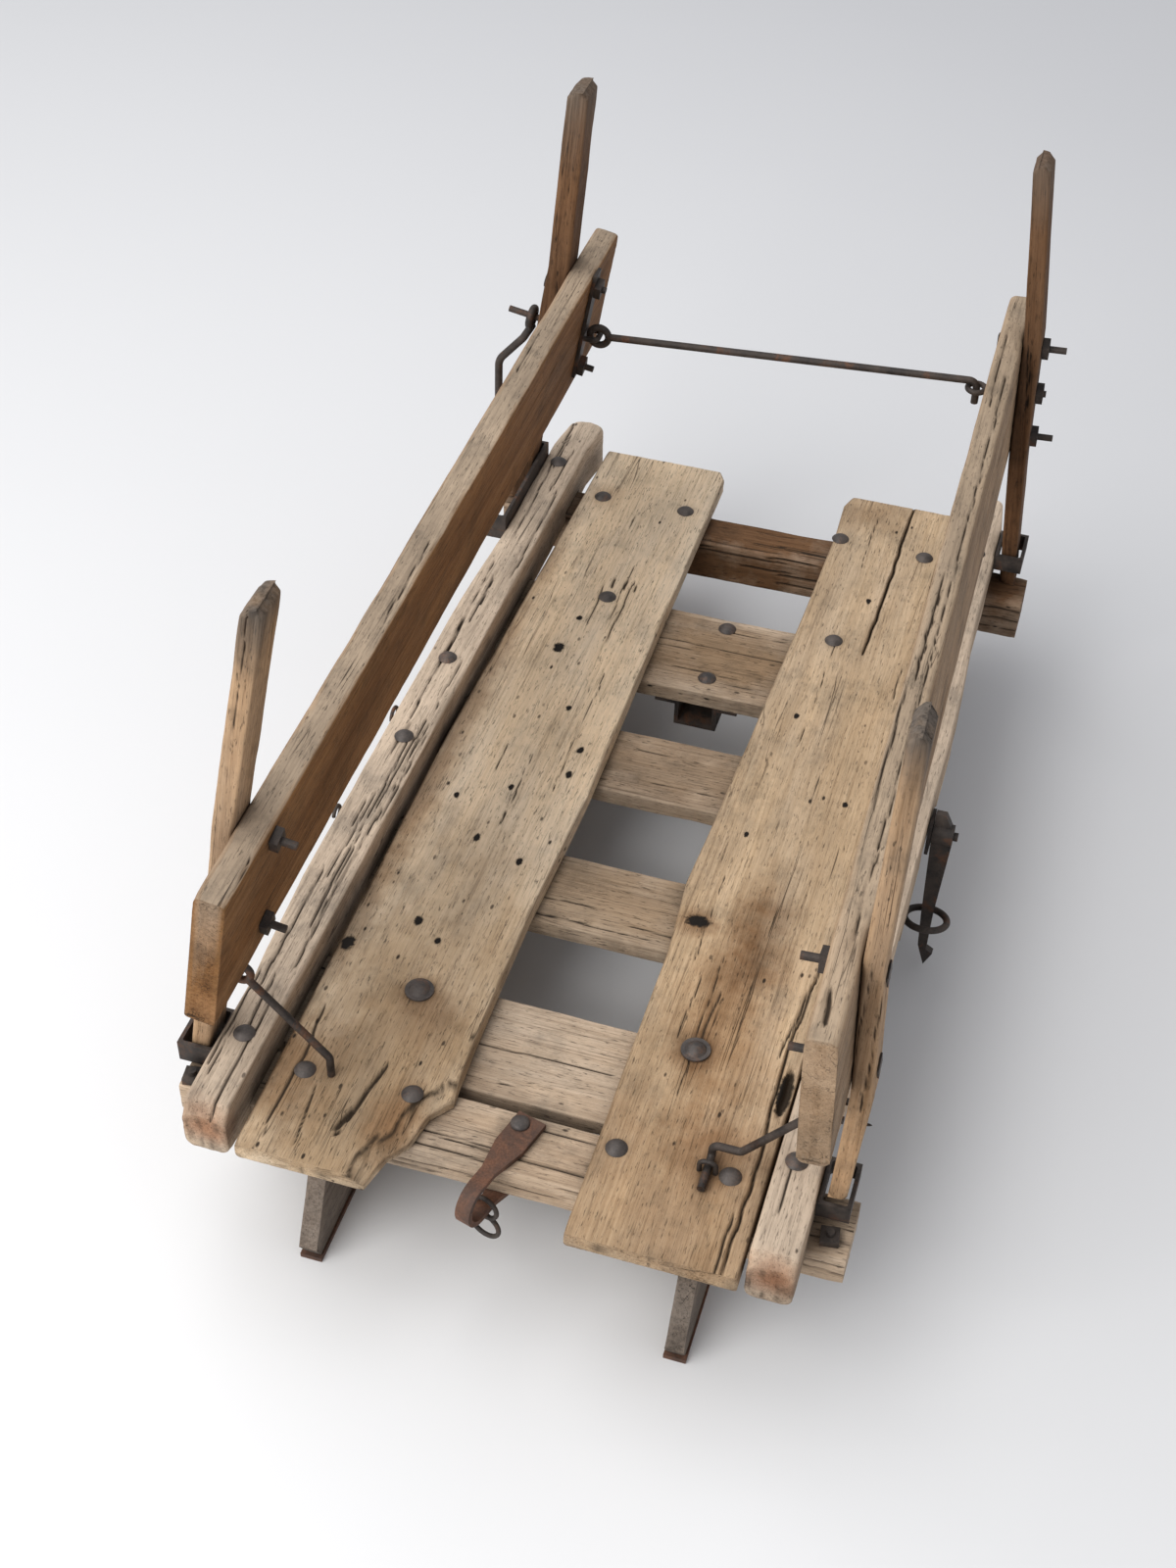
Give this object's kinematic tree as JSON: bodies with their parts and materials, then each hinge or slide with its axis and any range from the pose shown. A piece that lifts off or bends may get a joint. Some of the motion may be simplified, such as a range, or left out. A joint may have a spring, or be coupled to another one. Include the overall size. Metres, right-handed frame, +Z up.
{
  "type": "wooden sled",
  "caption": "Low wooden freight sled with a plank deck on shod runners and slatted stake sides held by iron hooks, a tie rod and a front hitch strap.",
  "frame": {"origin": "on the floor under the middle of the bounding box", "axes": "+Y along the bed away from the hitch, +X to the right seen from the hitch end, +Z up"},
  "size_m": [0.7189, 1.242, 0.784],
  "materials": {
    "deck_wood": "weathered, open grain",
    "frame_wood": "weathered, grey",
    "rail_wood": "weathered, checked",
    "stake_wood": "worn, warm brown",
    "runner_wood": "dark, dirty",
    "dark_iron": "oxidised",
    "rusty_iron": "rusted"
  },
  "bodies": {
    "bed": {"deck_plank_left": "deck_wood", "deck_plank_right": "deck_wood", "front_bolster": "frame_wood", "rear_bolster": "frame_wood", "cross_slats": "frame_wood", "sill_left": "deck_wood", "sill_right": "deck_wood", "runner_left": "runner_wood", "runner_right": "runner_wood", "shoe_left": "rusty_iron", "shoe_right": "rusty_iron", "rail_left": "rail_wood", "rail_right": "rail_wood", "stake_left_front": "stake_wood", "stake_left_rear": "stake_wood", "stake_right_front": "stake_wood", "stake_right_rear": "stake_wood", "stake_pockets_left": "dark_iron", "stake_pockets_right": "dark_iron", "deck_bolts": "dark_iron", "sill_bolts": "dark_iron", "slat_bolts": "dark_iron", "bolster_nuts": "dark_iron", "rail_plate": "dark_iron", "rack_bolts_left": "dark_iron", "rack_bolts_right": "dark_iron", "tie_rod_bar": "dark_iron", "tie_rod_keeper": "dark_iron", "eye_bolt_end": "dark_iron", "rack_grip": "dark_iron", "hook_staples": "dark_iron", "front_hook_right": "dark_iron", "deck_staple": "dark_iron", "hitch_strap": "rusty_iron", "pole_stirrups": "dark_iron", "side_hook_pin": "dark_iron"},
    "tie_rod": {"tie_rod": "dark_iron"},
    "front_hook_left": {"front_hook_left": "dark_iron"},
    "tow_link": {"tow_link": "dark_iron"},
    "side_hook": {"side_hook_lever": "dark_iron", "keeper_ring": "dark_iron"}
  },
  "joints": [
    {"name": "tie_rod_swing", "type": "hinge", "parent": "bed", "child": "tie_rod", "pos_m": [-0.22617, 0.5025, 0.427], "axis": [0.0105, -0.9999, 0], "range_deg": [0, 60]},
    {"name": "front_hook_left_swing", "type": "hinge", "parent": "bed", "child": "front_hook_left", "pos_m": [-0.27137, -0.51403, 0.312], "axis": [0.0105, -0.9999, 0], "range_deg": [0, 80]},
    {"name": "tow_link_swing", "type": "hinge", "parent": "bed", "child": "tow_link", "pos_m": [-0.00855, -0.57276, 0.1388], "axis": [0.9613, -0.2756, 0], "range_deg": [-25, 25]},
    {"name": "side_hook_swing", "type": "hinge", "parent": "bed", "child": "side_hook", "pos_m": [0.3265, 0.02, 0.178], "axis": [1, 0, 0], "range_deg": [-30, 58]}
  ]
}
